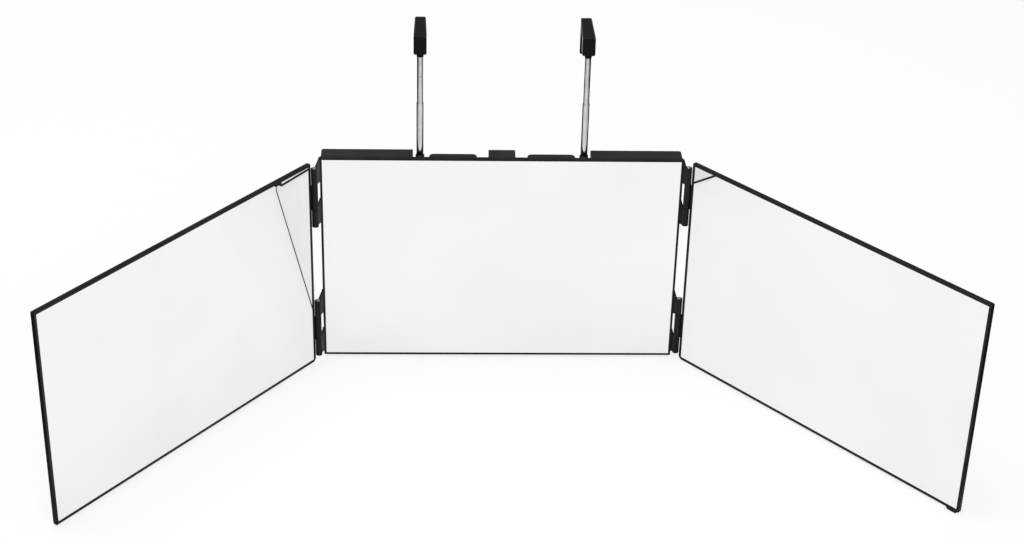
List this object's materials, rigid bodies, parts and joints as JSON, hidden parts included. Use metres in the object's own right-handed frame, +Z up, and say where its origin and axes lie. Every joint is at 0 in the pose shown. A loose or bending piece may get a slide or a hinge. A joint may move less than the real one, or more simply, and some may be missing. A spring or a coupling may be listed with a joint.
{
  "type": "folding makeup mirror",
  "caption": "Folding three-panel makeup mirror with black frames, hinged side wings and telescopic rods with swivelling over-door hooks.",
  "frame": {"origin": "on the surface the mirror stands on, under the middle of the box that holds the whole object, wings open and rods drawn out", "axes": "+X to the right as seen from the front, +Y to the back, square to the centre glass, +Z up along the rods"},
  "size_m": [0.8444, 0.3451, 0.3599],
  "materials": {
    "frame_plastic": "satin black moulded plastic",
    "housing_plastic": "fine matt black moulded plastic",
    "hook_plastic": "semi-gloss black moulded plastic",
    "bush_plastic": "gloss black",
    "clip_plastic": "matt black",
    "mirror_glass": "silvered flat glass",
    "foam_tape": "white double-sided foam",
    "rod_chrome": "polished chrome plate",
    "bright_steel": "bright zinc",
    "black_screws": "black oxide"
  },
  "bodies": {
    "centre": {"centre_frame": "frame_plastic", "centre_mirror": "mirror_glass", "centre_tape": "foam_tape", "rear_housing": "housing_plastic", "housing_screws": "black_screws", "left_guide_tube": "rod_chrome", "right_guide_tube": "rod_chrome", "left_tube_bush": "bush_plastic", "right_tube_bush": "bush_plastic", "tube_clips": "clip_plastic", "clip_screws": "bright_steel", "hinge_pins": "bright_steel"},
    "left_wing": {"left_wing_frame": "frame_plastic", "left_wing_mirror": "mirror_glass", "left_wing_tape": "foam_tape"},
    "right_wing": {"right_wing_frame": "frame_plastic", "right_wing_mirror": "mirror_glass", "right_wing_tape": "foam_tape"},
    "left_middle": {"left_middle_tube": "rod_chrome"},
    "right_middle": {"right_middle_tube": "rod_chrome"},
    "left_upper": {"left_upper_rod": "rod_chrome"},
    "right_upper": {"right_upper_rod": "rod_chrome"},
    "left_hook_body": {"left_hook": "hook_plastic"},
    "right_hook_body": {"right_hook": "hook_plastic"}
  },
  "joints": [
    {"name": "left_wing_hinge", "type": "hinge", "parent": "centre", "child": "left_wing", "pos_m": [-0.19188, 0.10628, 0.1174], "axis": [0, 0, 1], "range_deg": [-51, 129]},
    {"name": "right_wing_hinge", "type": "hinge", "parent": "centre", "child": "right_wing", "pos_m": [0.17772, 0.11278, 0.1174], "axis": [0, 0, 1], "range_deg": [-132, 48]},
    {"name": "left_middle_slide", "type": "slide", "parent": "centre", "child": "left_middle", "axis": [0, 0, 1], "range_m": [-0.0564, 0]},
    {"name": "left_upper_slide", "type": "slide", "parent": "left_middle", "child": "left_upper", "axis": [0, 0, 1], "range_m": [-0.0494, 0]},
    {"name": "left_hook_turn", "type": "hinge", "parent": "left_upper", "child": "left_hook_body", "pos_m": [-0.08828, 0.12833, 0.3417], "axis": [0, 0, 1], "range_deg": [-65, 65]},
    {"name": "right_middle_slide", "type": "slide", "parent": "centre", "child": "right_middle", "axis": [0, 0, 1], "range_m": [-0.0564, 0]},
    {"name": "right_upper_slide", "type": "slide", "parent": "right_middle", "child": "right_upper", "axis": [0, 0, 1], "range_m": [-0.0494, 0]},
    {"name": "right_hook_turn", "type": "hinge", "parent": "right_upper", "child": "right_hook_body", "pos_m": [0.07412, 0.12833, 0.3417], "axis": [0, 0, 1], "range_deg": [-65, 65]}
  ]
}
